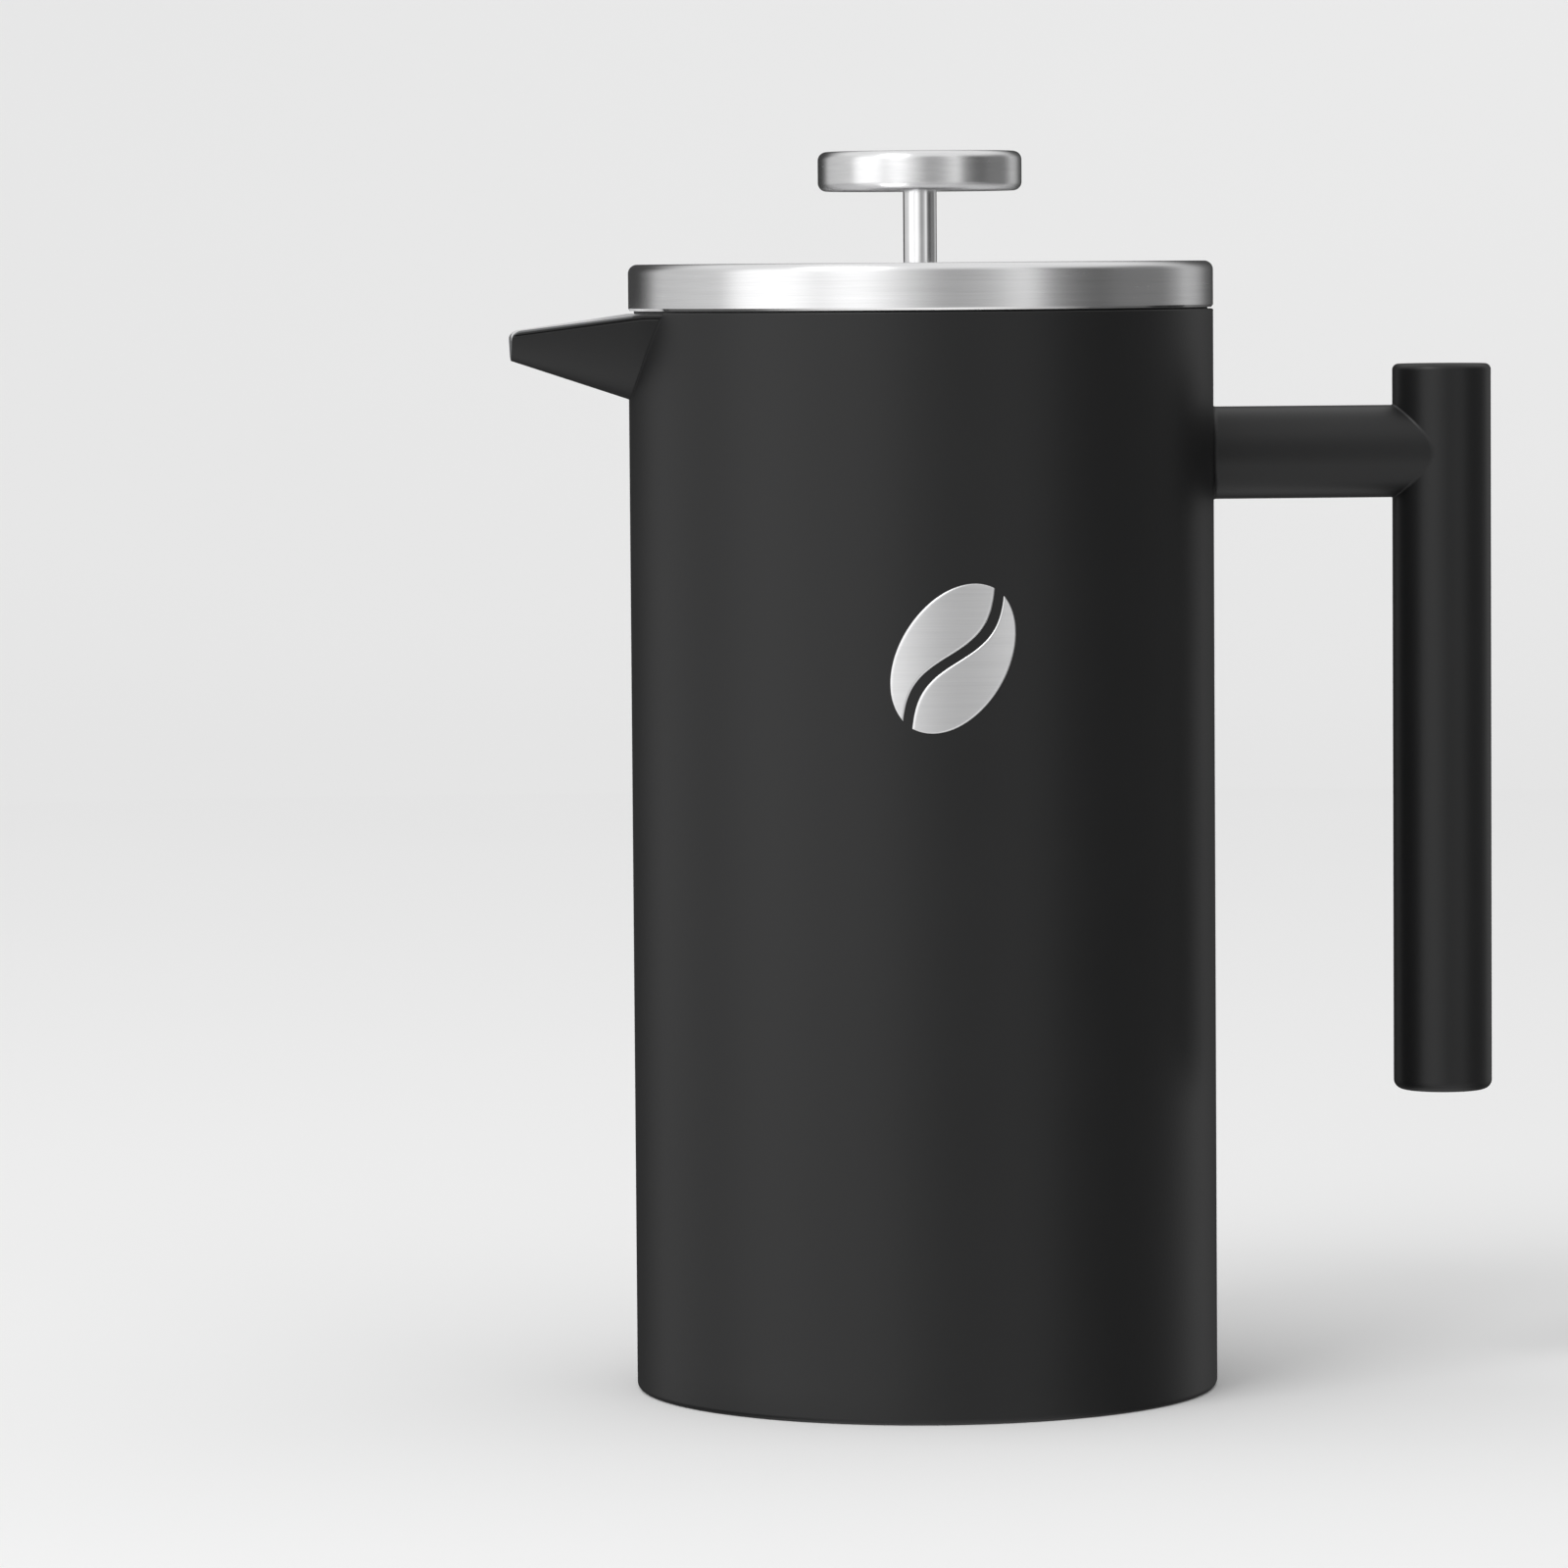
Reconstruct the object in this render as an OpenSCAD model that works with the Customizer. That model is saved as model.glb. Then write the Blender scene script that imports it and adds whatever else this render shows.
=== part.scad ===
// French press: a double-walled steel carafe, a lid that lifts off and turns,
// and a plunger that slides and turns in the lid's bush.
// Millimetres. +Z is up, the origin is the centre of the base, and the handle points along +X.

/* [Carafe] */
// Outer diameter of the carafe and the lid
body_d = 104; // [102:0.5:112]
// Height of the outer wall, from the base to its top edge
body_h = 192.3; // [175:0.1:210]
// Inner diameter of the brewing chamber
chamber_d = 96; // [92:0.5:97]
// Thickness of the steel sheet
sheet = 0.6; // [0.5:0.1:0.8]
// Height of the chamber's floor above the base
floor_z = 9; // [7:0.5:12]
// Radius of the carafe's bottom edge
foot_round = 1; // [0.8:0.1:1.5]

/* [Spout] */
// How far the spout reaches past the wall
spout_reach = 21.2; // [16:0.1:26]
// Width of the spout where it meets the wall
spout_w = 36.8; // [30:0.2:40]
// Depth of the spout where it meets the wall
spout_depth = 14.8; // [12:0.1:18]
// Width of the spout's lip
lip_w = 12; // [8:0.5:16]
// Depth of the spout's lip
lip_depth = 4.8; // [3.5:0.1:6]
// How far the spout's edge falls from the wall to the lip
lip_drop = 2.9; // [2:0.1:6]
// How full the spout's section is at the wall: 1 is a plain V, 2 a round trough
spout_curve = 1.8; // [1.4:0.1:2.2]
// How full the spout's section is at the lip
lip_curve = 1.5; // [1.2:0.1:2.2]
// Thickness of the spout's sheet
spout_t = 1; // [0.8:0.1:1.2]

/* [Handle] */
// Distance from the carafe's axis to the grip's axis
grip_x = 93.7; // [88:0.1:100]
// Diameter of the grip
grip_d = 17.62; // [16.8:0.02:19]
// Height of the grip's lower end
grip_z0 = 51.7; // [40:0.1:70]
// Height of the grip's upper end
grip_z1 = 182.1; // [176:0.1:190]
// Diameter of the arm
arm_d = 16.52; // [14:0.02:16.6]
// Height of the arm's axis
arm_z = 166.5; // [155:0.1:170]
// Wall of the handle's tubes
tube_wall = 1.2; // [1:0.1:1.5]

/* [Lid] */
// Height of the lid's cap
lid_h = 8.2; // [7.5:0.1:10]
// Radius of the lid's top edge
lid_round = 1.6; // [1:0.1:2.4]
// How far the skirt reaches down into the chamber
skirt_h = 14.3; // [10:0.1:18]
// Number of pouring slots in the skirt
slots = 9; // [5:1:11]

/* [Plunger] */
// Diameter of the knob
knob_d = 36.24; // [30:0.02:42]
// Thickness of the knob
knob_h = 7; // [6:0.1:9]
// Clear height between the lid and the knob when the plunger is down
stem_h = 12.7; // [11:0.1:16]
// Diameter of the stem sleeve
stem_d = 5.96; // [5.8:0.02:7]
// Diameter of the rod
rod_d = 4.5; // [4:0.1:4.8]
// Height of the filter's cross plate when the plunger is down
filter_z = 20; // [18:0.5:24]

/* [Emblem] */
// Height of the emblem's centre
emblem_z = 132.8; // [90:0.1:150]
// Length of the bean
bean_l = 28; // [20:0.5:34]
// Width of the bean
bean_w = 19; // [12:0.5:24]
// Lean of the bean from upright, in degrees
bean_lean = 32; // [0:1:60]

/* [Hidden] */
$fn = 96;

// Clearances
fit = 0.05;      // between mating pieces of one body
running = 0.08;  // between pieces that turn or slide in each other
sliding = 0.3;   // between the filter or lid and the chamber wall
far = 30;        // cutting shapes reach this far past what they cut
seam = 0.01;     // thickness of the slices that a hull joins

// Carafe
body_r = body_d / 2;
chamber_r = chamber_d / 2;
vessel_r = chamber_r + sheet;
rim_z = body_h - 0.3;
floor_round = 5;
plate_r = body_r - 6;
plate_dish = 1.8;
seal_r = 7;
seal_hole_r = 3;

// Spout
spout_tip_x = body_r + spout_reach;
spout_root_x = body_r - 10;
spout_top_z = rim_z - 0.3;
spout_slope = lip_drop / spout_reach;
spout_rise = (spout_depth - lip_depth - lip_drop) / spout_reach;
spout_taper = (spout_w - lip_w) / 2 / spout_reach;

// Handle
grip_r = grip_d / 2;
arm_r = arm_d / 2;
cap_t = 2.2;
spigot_h = 4;

// Lid
lid_z0 = body_h + 0.3;
lid_z1 = lid_z0 + lid_h;
gasket_t = 0.7;
gasket_z = rim_z + fit;
pan_z = gasket_z + gasket_t + fit;
skirt_r = chamber_r - 2 * sliding;
skirt_z = pan_z - skirt_h;
slot_w = 1.8;
slot_top = 2.5;
slot_bottom = 3;
slot_pitch = 4.6;

// Bush
rod_r = rod_d / 2;
bush_bore = rod_r + running;
bush_r = 4.5;
bush_body_r = 6.5;
bush_z0 = pan_z - 4.4;
nut_flats = 12;
nut_h = 3;
washer_t = 0.8;

// Plunger
stem_z = lid_z1;
knob_z = stem_z + stem_h;
knob_round = 1.55;
filter_r = chamber_r - sliding;
plate_t = 0.8;
screen_t = 0.3;
screen_z = filter_z + plate_t;
screen_rise = 4.2;
spring_r = 1.3;
spring_x = filter_r - 2 * (screen_t + fit) - spring_r;
spring_z = screen_z + 2 * screen_t + spring_r + fit;
plate_z = screen_z + 2 * screen_t;
spring_plate_r = spring_x - spring_r - fit;
hub_h = 5;
collar_h = 3;
emblem_t = 0.25;

// ---- outlines ----

// Points of an arc round [x, y], from angle a to angle b
function arc(x, y, r, a, b, n = 8) = [
    for (i = [0:n]) let (t = a + (b - a) * i / n) [x + r * cos(t), y + r * sin(t)]
];

// One section of the spout's trough in [y, z]: half width w, keel at k, sides up to t with the
// given curve, then straight up to top
function trough(w, k, t, curve, top, n = 24) = concat(
    [[-w, top]],
    [for (i = [0:n]) let (u = 2 * i / n - 1) [w * u, k + (t - k) * pow(abs(u), curve)]],
    [[w, top]]
);

// Outline of the bean, and the curve of its crease
function bean_edge(n = 64) = [
    for (i = [0:n - 1]) let (t = 360 * i / n) [bean_w / 2 * cos(t), bean_l / 2 * sin(t)]
];
function crease_x(v) = bean_w * 0.13 * sin(180 * v);
function crease(half, n = 24) = concat(
    [for (i = [0:n]) let (v = 2 * i / n - 1) [crease_x(v) - half, v * bean_l * 0.55]],
    [for (i = [n:-1:0]) let (v = 2 * i / n - 1) [crease_x(v) + half, v * bean_l * 0.55]]
);

// ---- shapes that repeat ----

module ring(outer, inner, z0, z1) {
    translate([0, 0, z0]) difference() {
        cylinder(r = outer, h = z1 - z0);
        translate([0, 0, -1]) cylinder(r = inner, h = z1 - z0 + 2);
    }
}

// A disc with both edges rounded
module rounded_disc(r, z0, z1, low, high) {
    rotate_extrude() polygon(concat(
        [[0, z0]], arc(r - low, z0 + low, low, -90, 0), arc(r - high, z1 - high, high, 0, 90), [[0, z1]]
    ));
}

// The spout's trough between its root inside the wall and past the lip, thinned by inset.
// It stops at the spout's own edge, or goes on upwards when open is true.
module trough_block(inset, open, past = 0) {
    module slice(x) {
        out = x - body_r;
        w = spout_w / 2 - spout_taper * out - 1.2 * inset;
        k = spout_top_z - spout_depth + spout_rise * out + inset;
        t = spout_top_z - spout_slope * out;
        curve = spout_curve + (lip_curve - spout_curve) * out / spout_reach;
        translate([-x, 0, 0]) rotate([90, 0, -90]) linear_extrude(seam)
            polygon(trough(w, k, t, curve, open ? body_h + far : t + seam));
    }
    hull() {
        slice(spout_root_x);
        slice(spout_tip_x + past);
    }
}

// Round holes of radius r, spaced evenly on a circle of radius at
module hole_ring(count, at, r, turn = 0) {
    for (i = [0:count - 1]) rotate(turn + 360 * i / count) translate([at, 0]) circle(r = r);
}

// A screen with its edge turned up, of outer radius r, standing at z
module screen(r, z) {
    bend = 1.5;
    inner = bend - screen_t;
    rotate_extrude() polygon(concat(
        [[rod_r + fit, z]],
        arc(r - bend, z + bend, bend, -90, 0),
        [[r, z + screen_rise], [r - screen_t, z + screen_rise]],
        arc(r - bend, z + bend, inner, 0, -90),
        [[rod_r + fit, z + screen_t]]
    ));
}

module hex_nut(flats, bore, z0, z1) {
    translate([0, 0, z0]) difference() {
        cylinder(d = flats / cos(30), h = z1 - z0, $fn = 6);
        translate([0, 0, -1]) cylinder(r = bore, h = z1 - z0 + 2);
    }
}

// ---- carafe ----

module outer_shell() {
    inner = body_r - sheet;
    edge = 0.25;
    color([0.13, 0.13, 0.14]) difference() {
        rotate_extrude() polygon(concat(
            [[plate_r, 0]],
            arc(body_r - foot_round, foot_round, foot_round, -90, 0),
            arc(body_r - edge, body_h - edge, edge, 0, 90, 4),
            [[inner, body_h], [inner, foot_round]],
            arc(inner - foot_round + sheet, foot_round, foot_round - sheet, 0, -90, 4),
            [[plate_r, sheet]]
        ));
        trough_block(0, true);
    }
}

// The chamber's wall, turned in at the bottom to meet the floor, with the rim ring that closes the gap
module inner_vessel() {
    bend = floor_round + sheet;
    color([0.78, 0.78, 0.78]) {
        difference() {
            rotate_extrude() polygon(concat(
                arc(vessel_r - bend, floor_z + floor_round, bend, -90, 0),
                [[vessel_r, rim_z], [chamber_r, rim_z]],
                arc(chamber_r - floor_round, floor_z + floor_round, floor_round, 0, -90)
            ));
            trough_block(spout_t, true);
        }
        difference() {
            ring(body_r - sheet - fit, vessel_r, rim_z - sheet, rim_z);
            trough_block(0, true);
        }
    }
}

module vessel_floor() {
    color([0.78, 0.78, 0.78]) translate([0, 0, floor_z - sheet])
        cylinder(r = chamber_r - floor_round, h = sheet);
}

module base_plate() {
    foot_r = plate_r - 4;
    dish_r = foot_r - 2.5;
    slant = 0.3;
    color([0.78, 0.78, 0.78]) rotate_extrude() polygon([
        [seal_hole_r, plate_dish], [dish_r, plate_dish], [foot_r, 0], [plate_r - fit, 0],
        [plate_r - fit, sheet], [foot_r + slant, sheet], [dish_r + slant, plate_dish + sheet],
        [seal_hole_r, plate_dish + sheet]
    ]);
}

module vacuum_seal() {
    edge = 0.5;
    head_t = 0.8;
    plug_z = plate_dish + 1.2;
    color([0.7, 0.7, 0.7]) rotate_extrude() polygon(concat(
        [[0, plate_dish - head_t]],
        arc(seal_r - edge, plate_dish - head_t + edge, edge, -90, 0, 4),
        [[seal_r, plate_dish], [seal_hole_r - fit, plate_dish], [seal_hole_r - fit, plug_z], [0, plug_z]]
    ));
}

module spout() {
    color([0.13, 0.13, 0.14]) difference() {
        trough_block(0, false);
        trough_block(spout_t, true, 5);
        translate([0, 0, body_h - far]) cylinder(r = vessel_r, h = 2 * far);
        translate([0, 0, rim_z - fit]) cylinder(r = body_r, h = far);
    }
}

module handle_arm() {
    color([0.13, 0.13, 0.14]) difference() {
        translate([body_r - 4, 0, arm_z]) rotate([0, 90, 0]) cylinder(r = arm_r, h = grip_x - body_r + 4);
        translate([body_r - 5, 0, arm_z]) rotate([0, 90, 0])
            cylinder(r = arm_r - tube_wall, h = grip_x - body_r + 6);
        translate([0, 0, arm_z - far]) cylinder(r = body_r, h = 2 * far);
        translate([grip_x, 0, arm_z - far]) cylinder(r = grip_r, h = 2 * far);
    }
}

module grip_tube() {
    color([0.13, 0.13, 0.14]) translate([grip_x, 0, 0])
        ring(grip_r, grip_r - tube_wall, grip_z0 + cap_t, grip_z1 - cap_t);
}

// An end cap for the grip, with its face at z = 0 and its spigot upwards
module grip_cap(round_edge) {
    spigot_r = grip_r - tube_wall - fit;
    rotate_extrude() polygon(concat(
        [[0, 0]],
        arc(grip_r - round_edge, round_edge, round_edge, -90, 0),
        [[grip_r, cap_t], [spigot_r, cap_t], [spigot_r, cap_t + spigot_h], [0, cap_t + spigot_h]]
    ));
}

module grip_cap_top() {
    color([0.13, 0.13, 0.14]) translate([grip_x, 0, grip_z1]) mirror([0, 0, 1]) grip_cap(1.1);
}

module grip_cap_bottom() {
    color([0.13, 0.13, 0.14]) translate([grip_x, 0, grip_z0]) grip_cap(1.7);
}

module emblem() {
    color([0.75, 0.75, 0.75]) intersection() {
        ring(body_r + emblem_t, body_r, emblem_z - bean_l, emblem_z + bean_l);
        translate([0, 0, emblem_z]) rotate([90, 0, 0]) linear_extrude(body_r + 5)
            rotate(-bean_lean) difference() {
                polygon(bean_edge());
                polygon(crease(0.9));
            }
    }
}

// ---- lid ----

module lid_gasket() {
    color([0.06, 0.06, 0.06]) ring(body_r - 1, skirt_r + sliding, gasket_z, gasket_z + gasket_t);
}

module lid_cap() {
    inner = body_r - sheet;
    hem = 0.35;
    color([0.82, 0.82, 0.82]) rotate_extrude() polygon(concat(
        [[inner, lid_z0], [body_r - hem, lid_z0], [body_r, lid_z0 + hem]],
        arc(body_r - lid_round, lid_z1 - lid_round, lid_round, 0, 90),
        [[bush_r + running, lid_z1], [bush_r + running, lid_z1 - sheet]],
        arc(body_r - lid_round, lid_z1 - lid_round, lid_round - sheet, 90, 0)
    ));
}

module lid_pan() {
    color([0.78, 0.78, 0.78]) ring(body_r - sheet - fit, bush_r + running, pan_z, pan_z + sheet);
}

// The skirt, with its pouring slots facing the spout
module lid_skirt() {
    slot_z0 = skirt_z + slot_bottom;
    slot_h = skirt_h - slot_bottom - slot_top;
    color([0.78, 0.78, 0.78]) difference() {
        ring(skirt_r, skirt_r - sheet, skirt_z, pan_z);
        for (i = [0:slots - 1]) rotate(180 + (i - (slots - 1) / 2) * slot_pitch)
            translate([skirt_r - 5, -slot_w / 2, slot_z0]) cube([10, slot_w, slot_h]);
    }
}

// ---- bush ----

module rod_bush() {
    color([0.8, 0.8, 0.8]) rotate_extrude() polygon([
        [bush_bore, bush_z0], [bush_r, bush_z0], [bush_r, pan_z + sheet + fit],
        [bush_body_r, pan_z + sheet + fit], [bush_body_r, lid_z1 - sheet - fit],
        [bush_r, lid_z1 - sheet - fit], [bush_r, lid_z1 - fit], [bush_bore, lid_z1 - fit]
    ]);
}

module bush_washer() {
    color([0.06, 0.06, 0.06]) ring(8, bush_r + fit, pan_z - fit - washer_t, pan_z - fit);
}

module bush_nut() {
    top = pan_z - fit - washer_t;
    color([0.8, 0.8, 0.8]) hex_nut(nut_flats, bush_r + fit, top - nut_h, top);
}

// ---- plunger ----

module knob() {
    color([0.82, 0.82, 0.82]) difference() {
        rounded_disc(knob_d / 2, knob_z, knob_z + knob_h, knob_round, knob_round);
        translate([0, 0, knob_z - 1]) cylinder(r = rod_r + fit, h = 1 + knob_h - 2.3);
    }
}

module stem_sleeve() {
    color([0.8, 0.8, 0.8]) ring(stem_d / 2, rod_r + fit, stem_z, knob_z);
}

module plunger_rod() {
    rod_z0 = filter_z - hub_h - 1.5;
    rod_z1 = knob_z + knob_h - 2.5;
    color([0.8, 0.8, 0.8]) translate([0, 0, rod_z0]) cylinder(r = rod_r, h = rod_z1 - rod_z0);
}

module rod_collar() {
    color([0.8, 0.8, 0.8]) ring(5, rod_r + fit, plate_z + plate_t, plate_z + plate_t + collar_h);
}

module spring_plate() {
    color([0.8, 0.8, 0.8]) translate([0, 0, plate_z]) linear_extrude(plate_t) difference() {
        circle(r = spring_plate_r);
        circle(r = rod_r + fit);
        hole_ring(8, spring_plate_r * 0.66, 7);
        hole_ring(8, spring_plate_r * 0.33, 3, 22.5);
    }
}

module edge_spring() {
    color([0.75, 0.75, 0.75]) rotate_extrude() translate([spring_x, spring_z])
        circle(r = spring_r, $fn = 32);
}

module fine_screen() {
    color([0.6, 0.6, 0.6]) screen(filter_r - screen_t - fit, screen_z + screen_t);
}

module coarse_screen() {
    color([0.6, 0.6, 0.6]) screen(filter_r, screen_z);
}

module cross_plate() {
    color([0.8, 0.8, 0.8]) translate([0, 0, filter_z]) linear_extrude(plate_t) difference() {
        circle(r = filter_r - 3);
        circle(r = rod_r + fit);
        hole_ring(12, filter_r * 0.77, 5);
        hole_ring(6, filter_r * 0.47, 6.2, 15);
        hole_ring(6, filter_r * 0.24, 2, 45);
    }
}

module hub_nut() {
    flange_t = 1;
    color([0.8, 0.8, 0.8]) union() {
        ring(7, rod_r + fit, filter_z - flange_t, filter_z);
        hex_nut(9, rod_r + fit, filter_z - hub_h, filter_z - flange_t / 2);
    }
}

outer_shell();
inner_vessel();
vessel_floor();
base_plate();
vacuum_seal();
spout();
handle_arm();
grip_tube();
grip_cap_top();
grip_cap_bottom();
emblem();
lid_gasket();
lid_cap();
lid_pan();
lid_skirt();
rod_bush();
bush_washer();
bush_nut();
knob();
stem_sleeve();
plunger_rod();
rod_collar();
spring_plate();
edge_spring();
fine_screen();
coarse_screen();
cross_plate();
hub_nut();
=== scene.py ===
import math

import bmesh
import bpy
from mathutils import Matrix, Vector


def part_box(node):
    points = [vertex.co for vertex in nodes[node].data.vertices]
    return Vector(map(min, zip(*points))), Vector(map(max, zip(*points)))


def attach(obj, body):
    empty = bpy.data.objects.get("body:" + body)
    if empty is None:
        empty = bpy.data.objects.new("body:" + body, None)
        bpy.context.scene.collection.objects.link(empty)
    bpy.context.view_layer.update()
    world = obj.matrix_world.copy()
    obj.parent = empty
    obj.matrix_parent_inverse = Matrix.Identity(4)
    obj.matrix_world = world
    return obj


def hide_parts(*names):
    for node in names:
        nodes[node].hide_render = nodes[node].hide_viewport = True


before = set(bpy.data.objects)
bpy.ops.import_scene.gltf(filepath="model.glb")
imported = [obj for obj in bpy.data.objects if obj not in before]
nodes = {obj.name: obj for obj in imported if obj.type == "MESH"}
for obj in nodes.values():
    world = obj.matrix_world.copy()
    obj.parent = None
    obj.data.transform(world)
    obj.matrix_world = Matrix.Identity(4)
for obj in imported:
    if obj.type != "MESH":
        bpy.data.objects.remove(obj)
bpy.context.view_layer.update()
MM = 0.001
scene = bpy.context.scene
scene.view_settings.view_transform = "Standard"


def box_mm(node):
    """Low and high corners of a CAD node, in millimetres."""
    low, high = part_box(node)
    return low / MM, high / MM


# ---- sizes read from the frame, in millimetres ----

SHELL_HIGH = box_mm("outer_shell")[1]
BODY_R = SHELL_HIGH.y
BODY_H = SHELL_HIGH.z
SHEET = 0.6  # thickness of the formed steel sheet
LID_LOW, LID_HIGH = box_mm("lid_cap")
SPOUT_REACH = -box_mm("spout")[0].x - BODY_R
SPOUT_TOP = BODY_H - 0.6  # height of its rim at the wall
# width, depth and hollowness of the spout where it leaves the wall, then at its lip
SPOUT_W, SPOUT_DEPTH, SPOUT_CURVE = 36.8, 14.8, 1.8
LIP_W, LIP_DEPTH, LIP_DROP, LIP_CURVE = 12.0, 4.8, 2.9, 1.5
SPOUT_T = 1.0  # thickness of the spout's sheet
RIM_T = 0.65  # and along its rim
KEEL_SOFT = 0.04  # rounds the spout's keel; a share of the half width
GRIP_LOW, GRIP_HIGH = box_mm("grip_tube")
GRIP_X = (GRIP_LOW.x + GRIP_HIGH.x) / 2
GRIP_R = (GRIP_HIGH.x - GRIP_LOW.x) / 2
ARM_LOW, ARM_HIGH = box_mm("handle_arm")
ARM_R = (ARM_HIGH.z - ARM_LOW.z) / 2
ARM_Z = (ARM_HIGH.z + ARM_LOW.z) / 2
KNOB_LOW, KNOB_HIGH = box_mm("knob")
KNOB_R = KNOB_HIGH.y
BORE_R = 2.3  # bore of the pieces that sit on the rod


# ---- node materials ----


class NodeTree:
    """A node tree that is built up a node at a time."""

    def __init__(self, owner):
        owner.use_nodes = True
        self.tree = owner.node_tree
        self.tree.nodes.clear()

    def add(self, kind, **sockets):
        made = self.tree.nodes.new(kind)
        for name, value in sockets.items():
            self.set(made, name, value)
        return made

    def set(self, made, name, value):
        socket = made.inputs[name]
        if isinstance(value, bpy.types.NodeSocket):
            self.tree.links.new(value, socket)
        else:
            socket.default_value = value

    def maths(self, operation, a, b=0.0):
        made = self.tree.nodes.new("ShaderNodeMath")
        made.operation = operation
        self.set(made, 0, a)
        self.set(made, 1, b)
        return made.outputs[0]


class Shader(NodeTree):
    """A node material in the object's own coordinates."""

    def __init__(self, name):
        self.material = bpy.data.materials.new(name)
        super().__init__(self.material)
        self.surface = self.add("ShaderNodeBsdfPrincipled")
        self.add("ShaderNodeOutputMaterial", Surface=self.surface.outputs[0])
        self.place = self.add("ShaderNodeTexCoord").outputs["Object"]

    def noise(self, scale, detail=3.0):
        return self.add("ShaderNodeTexNoise", Vector=self.place, Scale=scale, Detail=detail).outputs["Fac"]

    def span(self, value, low, high, from_low=0.3, from_high=0.7):
        """A value between from_low and from_high moved to between low and high."""
        made = self.tree.nodes.new("ShaderNodeMapRange")
        self.set(made, "Value", value)
        self.set(made, "From Min", from_low)
        self.set(made, "From Max", from_high)
        self.set(made, "To Min", low)
        self.set(made, "To Max", high)
        return made.outputs[0]

    def blend(self, factor, dark, light):
        made = self.tree.nodes.new("ShaderNodeMix")
        made.data_type = "RGBA"
        self.set(made, 0, factor)
        self.set(made, 6, (*dark, 1.0))
        self.set(made, 7, (*light, 1.0))
        return made.outputs[2]

    def bump(self, height, distance, strength, under=None):
        made = self.add("ShaderNodeBump", Height=height, Distance=distance, Strength=strength)
        if under is not None:
            self.tree.links.new(under, made.inputs["Normal"])
        return made.outputs[0]

    def grooves(self, fine, drift, detail=3.0, roughness=0.5):
        """Noise that hardly changes round the vertical axis and changes fast along the profile."""
        split = self.add("ShaderNodeSeparateXYZ", Vector=self.place)
        x, y = split.outputs["X"], split.outputs["Y"]
        squared = self.maths("ADD", self.maths("MULTIPLY", x, x), self.maths("MULTIPLY", y, y))
        radius = self.maths("SQRT", self.maths("ADD", squared, 1e-10))
        at = self.add("ShaderNodeCombineXYZ")
        self.set(at, "X", self.maths("MULTIPLY", self.maths("DIVIDE", x, radius), drift))
        self.set(at, "Y", self.maths("MULTIPLY", self.maths("DIVIDE", y, radius), drift))
        self.set(at, "Z", self.maths("MULTIPLY", split.outputs["Z"], fine))
        made = self.add("ShaderNodeTexNoise", Vector=at.outputs[0], Scale=1.0, Detail=detail,
                        Roughness=roughness)
        made.noise_dimensions = "4D"
        self.set(made, "W", self.maths("MULTIPLY", radius, fine))
        return made.outputs["Fac"]

    def round_axis(self):
        """The direction round the vertical axis, along which the steel is brushed."""
        made = self.tree.nodes.new("ShaderNodeTangent")
        made.direction_type = "RADIAL"
        made.axis = "Z"
        return made.outputs[0]


def scaled(shade, factor):
    """A shade made darker or lighter."""
    return [min(1.0, c * factor) for c in shade]


def coating(name, shade):
    """Matte powder coat: fine orange peel, faint speckle and slow drift in shade."""
    s = Shader(name)
    peel = s.noise(scale=1500.0, detail=2.0)
    grain = s.noise(scale=6500.0, detail=2.0)
    drift = s.noise(scale=45.0, detail=2.0)
    tone = s.maths("ADD", s.maths("MULTIPLY", grain, 0.7), s.maths("MULTIPLY", drift, 0.3))
    speckle = s.blend(s.span(tone, 0.0, 1.0), scaled(shade, 0.86), scaled(shade, 1.14))
    s.set(s.surface, "Base Color", speckle)
    s.set(s.surface, "Roughness", s.span(tone, 0.37, 0.43))
    s.set(s.surface, "Specular IOR Level", 0.36)
    peel_bump = s.bump(peel, distance=0.00004, strength=0.25)
    s.set(s.surface, "Normal", s.bump(grain, distance=0.00001, strength=0.3, under=peel_bump))
    return s.material


def brushed_round(s, anisotropy):
    """Stretches the reflections of a steel brushed round the vertical axis."""
    s.set(s.surface, "Anisotropic", anisotropy)
    s.set(s.surface, "Anisotropic Rotation", 0.25)
    s.set(s.surface, "Tangent", s.round_axis())


def brushed(name, shade, roughness, anisotropy=0.75, line=0.03):
    """Steel brushed round the vertical axis: fine grooves in tone, roughness and height."""
    s = Shader(name)
    fine = s.grooves(fine=3800.0, drift=3.0, roughness=0.7)
    broad = s.grooves(fine=1400.0, drift=2.0, detail=2.0)
    tone = s.maths("ADD", s.maths("MULTIPLY", fine, 0.65), s.maths("MULTIPLY", broad, 0.35))
    streaks = s.blend(s.span(tone, 0.0, 1.0), scaled(shade, 0.93), scaled(shade, 1.04))
    s.set(s.surface, "Base Color", streaks)
    s.set(s.surface, "Metallic", 1.0)
    s.set(s.surface, "Roughness", s.span(tone, roughness * 0.98, roughness * 1.02))
    brushed_round(s, anisotropy)
    s.set(s.surface, "Normal", s.bump(fine, distance=0.00001, strength=line))
    return s.material


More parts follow.
